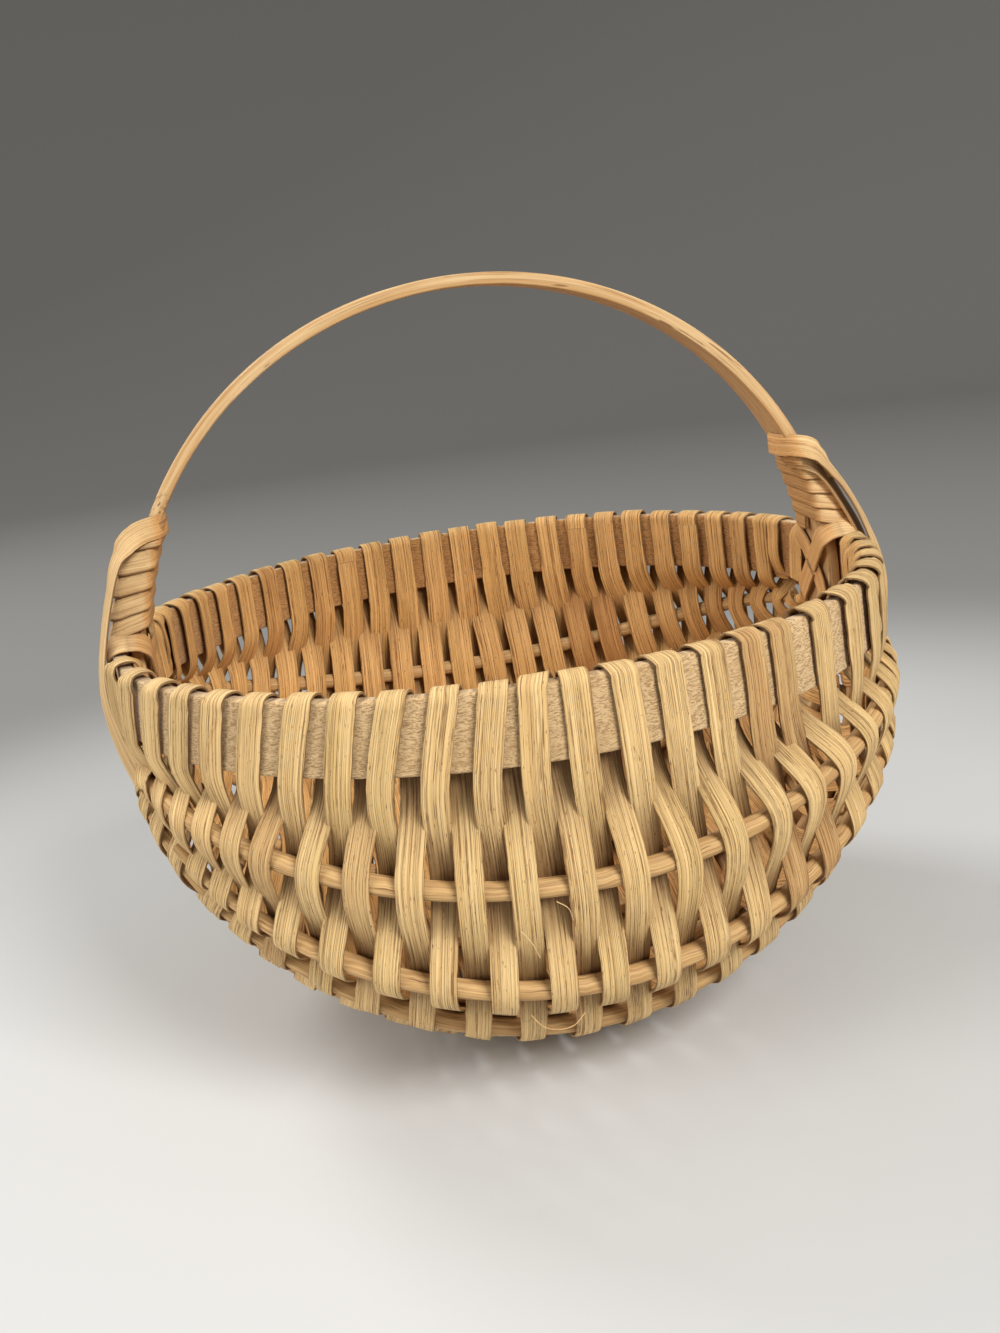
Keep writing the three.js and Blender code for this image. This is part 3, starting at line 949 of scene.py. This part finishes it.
def rib_run(i, side):
    """A rib from ear to ear; a long one runs on into both ears as a thin point."""
    r = RIBS[i]
    own = random.Random(60 + i * 2 + side)
    rise = Vector((0, side * (r["y"] - r["end_y"]), r["z"] - r["end_z"]))
    plane = Vector((1, 0, 0)).cross(rise)
    tone = 0.1 * i + 0.05 * side

    def point(ear, f):
        spot = ear_spot(r, side, ear, r["point"] + (RIB_FAN - r["point"]) * f)
        return station(spot, plane, RIB_TIP * (0.6 + 0.4 * f), tone, plane, 1)

    def shaft(a):
        uneven = 1 + 0.035 * math.sin(a * 9 + own.uniform(-0.1, 0.1))
        width = 2 * rib_radius(r, a) * uneven
        return station(rib_point(r, side, a), plane, width, tone, plane, 1)

    shares = [k / POINT_STEPS for k in range(POINT_STEPS)] if r["point"] else []
    turns = [-r["stop"] + 2 * r["stop"] * k / RIB_STEPS for k in range(RIB_STEPS + 1)]
    run = [point(-1, f) for f in shares] + [shaft(a) for a in turns]
    return run + [point(1, f) for f in reversed(shares)]


def make_ribs():
    for i in range(len(RIBS)):
        for word, side in (("front", FRONT), ("back", BACK)):
            piece = roll_reed(f"{word}_rib_reed_{i + 1}", rib_run(i, side), None, ROUND_REED)
            settle(piece, RIB_REED, "rib_reed", f"rib_{word}_{i + 1}")


def make_weavers():
    for word, ear in EARS:
        for i, stations in enumerate(weave_side(ear)):
            run = smooth_run(stations, WEAVE_STEP)
            piece = roll_reed(f"{word}_weaver_reed_{i + 1}", run)
            settle(piece, WEAVER_REED, "weaver_reed", f"weaver_{word}_{i + 1}")


# The short rows that fill each ear: how far the first and the last lie from its middle
FILL_ROWS = 5
FILL_WIDTH = 0.0038
FILL_ON_RIBS = (0.0282, 0.0146)
FILL_ON_KEEL = (0.0225, 0.0125)
# How far the two ends of the filling stand past the first rib and inwards
FILL_END = (0.003, 0.002)


def ear_fill_run(ear):
    """Short rows over and under long ribs and keel, each turned round the first rib to the next."""
    own = random.Random(77 + ear)
    stations = []

    def add(spot, across, out, crest):
        width = FILL_WIDTH * own.uniform(0.95, 1.05)
        tone = 0.3 + 0.2 * math.sin(len(stations))
        stations.append(station(spot, across, width, tone, out, crest))

    def beside_rim(side, reach, stand, inwards):
        """A spot just past the first rib, on the side of the rim."""
        fan = RIBS[0]["fan"]
        past = Vector((0, side * math.sin(fan), math.cos(fan)))
        along = Vector((0, side * math.cos(fan), -math.sin(fan)))
        spot = ear_spot(RIBS[0], side, ear, reach) + past * stand - Vector((ear * inwards, 0, 0))
        add(spot, along, past, 1)

    def reach_of(k, ends):
        return ends[0] + (ends[1] - ends[0]) * k / (FILL_ROWS - 1)

    # What a filling row crosses, a rib's number or None for the keel, and the count of crossings
    front = [((i, FRONT), k) for k, i in enumerate(LONG_RIBS + [None])]
    order = front + [((i, BACK), 2 * len(LONG_RIBS) - k) for (i, _), k in reversed(front)]
    beside_rim(FRONT, FILL_ON_RIBS[0], *FILL_END)
    for k in range(FILL_ROWS):
        reach = reach_of(k, FILL_ON_RIBS)
        for (i, side), count in order if k % 2 == 0 else reversed(order):
            over = 1 if (k + count) % 2 == 0 else -1
            if i is None:
                a = hoop_turn(RIM_MID - reach_of(k, FILL_ON_KEEL))
                spot = hoop_point(a) + Vector((0, side * (HANDLE_WIDTH / 2 - FIT), 0))
                across, out, half = hoop_along(a), hoop_out(a), HANDLE_THICK / 2
                for v in (spot, across, out):
                    v.x *= ear
            else:
                fan = RIBS[i]["fan"]
                spot = ear_spot(RIBS[i], side, ear, reach)
                across = Vector((0, side * math.cos(fan), -math.sin(fan)))
                out, half = Vector((ear, 0, 0)), RIB_TIP / 2
            # Over or under also sets the painted shade of each face
            add(spot + out * (over * (half + TUCK)), across.normalized(), out, over)
        side = BACK if k % 2 == 0 else FRONT
        if k == FILL_ROWS - 1:
            beside_rim(side, reach, *FILL_END)
        else:
            half_way = (reach + reach_of(k + 1, FILL_ON_RIBS)) / 2
            beside_rim(side, half_way, RIB_TIP / 2 + TUCK, 0)
    return smooth_run(stations, FINE_STEP)


def make_ear_fills():
    for word, ear in EARS:
        piece = roll_reed(f"{word}_ear_fill_reed", ear_fill_run(ear))
        settle(piece, WEAVER_REED, "weaver_reed")


# The height of each ear winding's top and how much painted shade darkens its inner face
WINDINGS = {"left": (0.1075, 0.9), "right": (0.1035, 1.3)}
WINDING_TILT = 0.42
WINDING_LAP = 0.2
WINDING_INSET = 0.0026
WINDING_SKEW = 0.00035
# How round a turn runs over the handle's faces and over its edges: one is an oval
WINDING_ROUND = (0.55, 0.4)
# How far the turns stand off the handle's outer face, at the top and more at the bottom
WINDING_BULGE = (0.0018, 0.001)
# Painted shadow lines between the turns: how dark a turn's edges are and where that starts
WINDING_EDGE = (1.0, 0.66)


def winding_run(ear, top, shade):
    """Turns of flat reed up the handle, each lower edge over the turn below."""
    low = hoop_turn(RIM_TOP + WINDING_INSET)
    high = hoop_turn(top - WINDING_INSET)
    pitch = (hoop_point(high) - hoop_point(low)).length / WINDING_TURNS
    width = pitch + FIT
    steps = TURN_STEPS * WINDING_TURNS
    own = random.Random(15 + ear)
    skew = [own.uniform(-WINDING_SKEW, WINDING_SKEW) for _ in range(WINDING_TURNS + 1)]
    stand = EAR_THICK / 2 + WINDING_LAP * width / 2 + AIR
    face = HANDLE_THICK / 2 + stand
    edge = HANDLE_WIDTH / 2 + stand
    run = []
    for i in range(steps + 1):
        f = i / steps
        turn = math.pi + 2 * math.pi * WINDING_TURNS * f
        c, d = math.cos(turn), -math.sin(turn)
        bulge = WINDING_BULGE[0] + WINDING_BULGE[1] * (1 - f)
        out = math.copysign(abs(c) ** WINDING_ROUND[0], c) * (face if c < 0 else face + bulge)
        a = low + (high - low) * f
        way = hoop_out(a)
        up = hoop_along(a).normalized()
        skewed = skew[int(f * WINDING_TURNS)] * d
        p = hoop_point(a) + way * out - up * (out * WINDING_TILT - skewed)
        p.y = math.copysign(abs(d) ** WINDING_ROUND[1], d) * edge
        away = (way * (c / face) + Vector((0, d / edge, 0))).normalized()
        across = up - away * WINDING_LAP
        for v in (p, across, away):
            v.x *= ear
        tone = 0.4 + 0.25 * math.sin(turn / 2.3)
        # Painted shade on the inner face of the winding
        run.append(station(p, across, width, tone, away, 1 - shade * ease(-c, -0.3, 0.5)))
    return run


def make_windings():
    for word, ear in EARS:
        run = winding_run(ear, *WINDINGS[word])
        piece = roll_reed(f"{word}_ear_winding_reed", run, EAR_THICK, SOFT_REED, *WINDING_EDGE)
        settle(piece, EAR_REED, "ear_reed", f"ear_winding_{word}")


def cross_lash_run(ear, flip, layer):
    """One strip slantwise round rim and handle where they cross; its ends meet on the inside."""
    stand = LASH_WIDTH * 0.36 + REED_THICK * 0.36 + FIT
    y = HANDLE_WIDTH / 2 + stand
    high = RIM_TOP + stand
    low = RIM_LOW - stand
    middle = (high + low) / 2
    rise = (high - low) / 2
    outer = RIM_LENGTH / 2 + TUCK
    away = max(high - HOOP_MID, HOOP_MID - low)
    inner = HOOP_X * math.sqrt(1 - (away / HOOP_Z) ** 2) - HANDLE_THICK / 2 - TUCK
    outer_cross = outer + layer * STRIP_THICK
    inner_cross = inner - layer * STRIP_THICK
    corner = 0.001
    across = Vector((0, -rise, flip * y))
    half = [
        (0.05, inner_cross),
        (0.4, inner_cross),
        (0.9, inner),
        (1, inner + corner),
        (1, outer - corner),
        (0.9, outer),
        (0.4, outer_cross),
    ]
    places = [(-s, x) for s, x in half] + [(0, outer_cross)] + half[::-1]
    run = []
    for s, x in places:
        outside = x > (inner + outer) / 2
        spot = Vector((ear * x, flip * y * s, middle + rise * s))
        out = Vector((ear if outside else -ear, 0, 0))
        tone = 0.45 + 0.1 * layer
        # Painted shade: the stretches on the inner side are darkened
        run.append(station(spot, across, STRIP_WIDTH, tone, out, 1 if outside else 0.2))
    return run


def make_cross_lashes():
    for word, ear in EARS:
        for layer, flip in enumerate((1, -1)):
            run = smooth_run(cross_lash_run(ear, flip, layer), FINE_STEP)
            piece = roll_reed(f"{word}_cross_lash_reed_{layer + 1}", run)
            settle(piece, EAR_REED, "ear_reed", f"cross_lash_{word}_{layer + 1}")


MILLIMETRE = 0.001

# The middle line of each bow strip, from the inner face of the handle round its front edge and
# down outside the rim, in millimetres, and how far it faces away from the front, in degrees
BOWS = {
    "left_1": [
        (-61.3, 3, 106, -90), (-61.4, -4.5, 105.9, -80), (-62.6, -7.3, 105.8, -30),
        (-65.2, -7.9, 105.4, 0), (-68.2, -8.2, 103.8, 35), (-70.6, -8.2, 101, 64),
        (-73.4, -8.1, 94.2, 72), (-76.2, -8, 85.3, 72), (-77.5, -8.4, 79.5, 70),
        (-77.7, -9.6, 73.7, 64), (-76.7, -11.2, 68, 56), (-75, -13, 62.3, 50),
        (-73, -15, 57.5, 46), (-71, -16.8, 53, 42),
    ],
    "right_1": [
        (63.4, -3, 100.2, -80), (64.8, -6.8, 100.2, -40), (66.8, -7.3, 99.6, 14),
        (68.9, -7, 97.6, 52), (71, -6.8, 94.4, 60), (73.4, -6.6, 90.1, 60),
        (76.2, -6.6, 84.4, 57), (77.9, -6.8, 78.9, 54), (78.2, -7.6, 74, 52),
        (77.6, -9, 68.4, 50), (76, -10.6, 63.5, 46),
    ],
    "right_2": [
        (62.3, 3, 102.9, -90), (62.4, -4.2, 102.9, -80), (64.2, -7.4, 102.8, -20),
        (66.6, -8.2, 102.1, 24), (68.7, -8.2, 100.3, 54), (70.5, -8.1, 97.6, 65),
        (72.7, -8, 94.6, 68), (75.2, -8, 90.2, 67), (77.7, -8, 84.4, 62),
        (79.4, -8.2, 78.7, 54), (79.8, -9, 73.6, 45), (79, -10.4, 68.5, 46),
        (77, -12.4, 62.4, 44), (74.8, -14.6, 57, 42), (72.2, -16.3, 52.8, 42),
        (69.4, -17.8, 49.4, 42),
    ],
}
# Painted shade on each bow: the inner one at the right is painted dark, as if in the outer one's
# shade
BOW_CREST = {"left_1": 1, "right_1": -0.6, "right_2": 1}
BOW_WIDTH = STRIP_WIDTH * 0.97
BOW_TONE = 0.35


def make_bows():
    for key, places in BOWS.items():
        spots = [Vector(place[:3]) * MILLIMETRE for place in places]
        stations = []
        for i, spot in enumerate(spots):
            turn = math.radians(places[i][3])
            way = spots[min(i + 1, len(spots) - 1)] - spots[max(i - 1, 0)]
            facing = Vector((math.copysign(1, spot.x) * math.sin(turn), -math.cos(turn), 0))
            across = way.cross(facing).normalized()
            stations.append(station(spot, across, BOW_WIDTH, BOW_TONE, facing, BOW_CREST[key]))
        word, number = key.split("_")
        piece = roll_reed(f"{word}_bow_reed_{number}", smooth_run(stations, FINE_STEP))
        settle(piece, EAR_REED, "ear_reed", f"bow_strip_{key}")


# The turns of the rim, in degrees from its middle, where plain loops close it beside the ears
EAR_WRAPS = {
    "left_back": (-1, BACK, (76, 80)),
    "right_front": (1, FRONT, (57.4, 64.6, 71.3, 77.9)),
    "right_back": (1, BACK, (81.5,)),
}
EAR_WRAP_WIDTH = {FRONT: STRIP_WIDTH * 1.26, BACK: STRIP_WIDTH * 1.04}
# Painted shade along the loops' edges
EAR_WRAP_SHADE = 0.35
EAR_WRAP_SLANT = math.radians(0.5)
EAR_WRAP_INSET = 0.0008
# How far a loop's two ends lie above the rim's middle and above its lower edge
EAR_WRAP_ENDS = (0.001, 0.0006)


def ear_wrap_run(ear, side, turn):
    """One loop of reed round the rim, its ends lapped inside."""
    face = RIM_THICK / 2 + TUCK + AIR
    inside = -face - 1.2 * STRIP_THICK
    high, low = RIM_TOP - EAR_WRAP_INSET, RIM_LOW + EAR_WRAP_INSET
    places = [
        (inside, RIM_MID + EAR_WRAP_ENDS[0]),
        (inside, low),
        (0, RIM_LOW - TUCK - AIR),
        (face, low),
        (face, RIM_MID),
        (face, high),
        (0, RIM_TOP + TUCK + AIR),
        (inside, high),
        (inside - STRIP_THICK, RIM_MID),
        (inside - STRIP_THICK, RIM_LOW + EAR_WRAP_ENDS[1]),
    ]
    outer_top = places.index((face, high))
    stations = []
    for i, (out, z) in enumerate(places):
        a = ear * (turn - EAR_WRAP_SLANT * abs(i - outer_top))
        way = rim_out(side, a)
        p = rim_point(side, a) + way * out
        p.z = z
        facing = way * (out / face) + Vector((0, 0, (z - RIM_MID) / RIM_HEIGHT))
        across = rim_along(side, a).normalized()
        stations.append(station(p, across, EAR_WRAP_WIDTH[side], TRIM_TONE, facing, 1))
    return smooth_run(stations, FINE_STEP)


def make_ear_wraps():
    for word, (ear, side, turns) in EAR_WRAPS.items():
        for i, turn in enumerate(turns):
            run = ear_wrap_run(ear, side, math.radians(turn))
            piece = roll_reed(f"{word}_ear_wrap_{i + 1}", run, edge=EAR_WRAP_SHADE)
            settle(piece, WEAVER_REED, "weaver_reed")


# Fine fibres that have sprung from the strips: their places in millimetres
STRAYS = [
    [(-6.7, -79.6, 47.7), (-5.2, -80.2, 46.7), (-4.4, -79.4, 44)],
    [
        (-12.4, -74.4, 26.6), (-10.9, -75.4, 24.8), (-8.4, -75.6, 23.8),
        (-5.8, -75.4, 23.9), (-3.6, -74.4, 25.2),
    ],
    [(-12.7, -77.6, 43.1), (-11.4, -78.4, 41.3), (-10.1, -77.2, 37.7)],
    [(-55.8, -55.2, 83.4), (-58, -52.9, 75.7), (-58.9, -51.5, 68)],
    [(-54.6, -56.8, 80), (-57.2, -54.2, 74), (-57.8, -52.6, 69.4)],
]


def make_strays():
    ahead = Vector((0, -1, 0))
    for i, places in enumerate(STRAYS):
        spots = [Vector(place) * MILLIMETRE for place in places]
        stations = [station(spot, ahead, STRAY_WIDTH, TRIM_TONE, ahead, 1) for spot in spots]
        run = smooth_run(stations, FIBRE_STEP)
        piece = roll_reed(f"stray_fibre_{i + 1}", run, None, ROUND_REED)
        settle(piece, EAR_REED, "weaver_reed")


FLOOR_RADIUS = 1.1
SWEEP_RADIUS = 0.6
SWEEP_STEPS = 24
# Pale under the basket and grey further out: the grey is a backdrop tone, and the fall from pale to
# grey round the basket is partly painted shade
FLOOR_PALE = straw(206, 206, 204)
FLOOR_GREY = straw(136, 135, 131)


def make_floor():
    """A floor that sweeps up into a round backdrop, pale under the basket and grey further out."""
    deselect()
    bpy.ops.mesh.primitive_circle_add(vertices=128, radius=FLOOR_RADIUS, fill_type="NGON")
    floor = bpy.context.object
    floor.name = "floor"
    bpy.ops.object.mode_set(mode="EDIT")
    bpy.ops.mesh.select_all(action="SELECT")
    for k in range(SWEEP_STEPS):
        before = math.radians(90) * k / SWEEP_STEPS
        turn = math.radians(90) * (k + 1) / SWEEP_STEPS
        rise = SWEEP_RADIUS * (math.cos(before) - math.cos(turn))
        last = FLOOR_RADIUS + SWEEP_RADIUS * math.sin(before)
        wide = FLOOR_RADIUS + SWEEP_RADIUS * math.sin(turn)
        bpy.ops.mesh.extrude_region_move(TRANSFORM_OT_translate={"value": (0, 0, rise)})
        bpy.ops.transform.resize(value=(wide / last, wide / last, 1))
    bpy.ops.mesh.delete(type="ONLY_FACE")
    bpy.ops.object.mode_set(mode="OBJECT")
    bpy.ops.object.shade_smooth()
    f = Finish("pale_floor")
    away = f.wire("ShaderNodeVectorMath", {"operation": "LENGTH"}, {0: f.place()}, "Value")
    # Darker with distance from the basket: partly painted shade
    colour = f.blend(away.band(0.13, 0.36), FLOOR_PALE, FLOOR_GREY)
    f.tree.links.new(colour.socket, f.shader.inputs["Base Color"])
    f.shader.inputs["Roughness"].default_value = 0.9
    floor.data.materials.append(f.material)


SKY_COLOUR = (1.0, 0.985, 0.965, 1)
SKY_STRENGTH = 0.31
# Each lamp's name, place, size and power; all look at the middle of the basket
LAMPS = (
    ("key", (0.38, -0.8, 0.68), 0.42, 11.2),
    ("fill", (-0.9, -0.35, 0.5), 0.6, 5.4),
    ("back", (-0.5, 0.6, 0.8), 0.35, 5.0),
)
LAMP_AIM = Vector((0, 0, 0.06))


def make_light():
    world = bpy.context.scene.world or bpy.data.worlds.new("studio")
    bpy.context.scene.world = world
    world.use_nodes = True
    sky = world.node_tree.nodes["Background"]
    sky.inputs["Color"].default_value = SKY_COLOUR
    sky.inputs["Strength"].default_value = SKY_STRENGTH
    for name, place, size, power in LAMPS:
        deselect()
        bpy.ops.object.light_add(type="AREA", location=place)
        lamp = bpy.context.object
        lamp.name = name
        lamp.data.size = size
        lamp.data.energy = power
        aim = LAMP_AIM - Vector(place)
        lamp.rotation_euler = aim.to_track_quat("-Z", "Y").to_euler()


# Where the camera stands: turned, raised and leaning, so far from the point it looks at
CAMERA_TURN = math.radians(-7.47)
CAMERA_RISE = math.radians(14.35)
CAMERA_LEAN = math.radians(-7.71)
CAMERA_AIM = Vector((-0.00011, 0, 0.06598))
CAMERA_AWAY = 0.29835
SENSOR = 36
FOCAL_PIXELS = 1447.57
IMAGE_HEIGHT = 1333


def make_camera():
    level = math.cos(CAMERA_RISE)
    back = Vector((
        math.sin(CAMERA_TURN) * level, -math.cos(CAMERA_TURN) * level, math.sin(CAMERA_RISE)
    ))
    right = (-back).cross(Vector((0, 0, 1))).normalized()
    up = right.cross(-back)
    right_rolled = right * math.cos(CAMERA_LEAN) + up * math.sin(CAMERA_LEAN)
    up_rolled = up * math.cos(CAMERA_LEAN) - right * math.sin(CAMERA_LEAN)
    deselect()
    bpy.ops.object.camera_add(location=CAMERA_AIM + back * CAMERA_AWAY)
    camera = bpy.context.object
    camera.name = "photo_camera"
    turn = Matrix((right_rolled, up_rolled, back)).transposed()
    camera.rotation_euler = turn.to_euler()
    camera.data.sensor_width = SENSOR
    camera.data.lens = FOCAL_PIXELS * SENSOR / IMAGE_HEIGHT
    camera.data.clip_start = 0.01
    bpy.context.scene.camera = camera


make_camera()
make_hoops()
make_ribs()
make_weavers()
make_windings()
make_cross_lashes()
make_bows()
make_ear_wraps()
make_ear_fills()
make_strays()
make_floor()
make_light()
bpy.context.scene.view_settings.view_transform = "Standard"
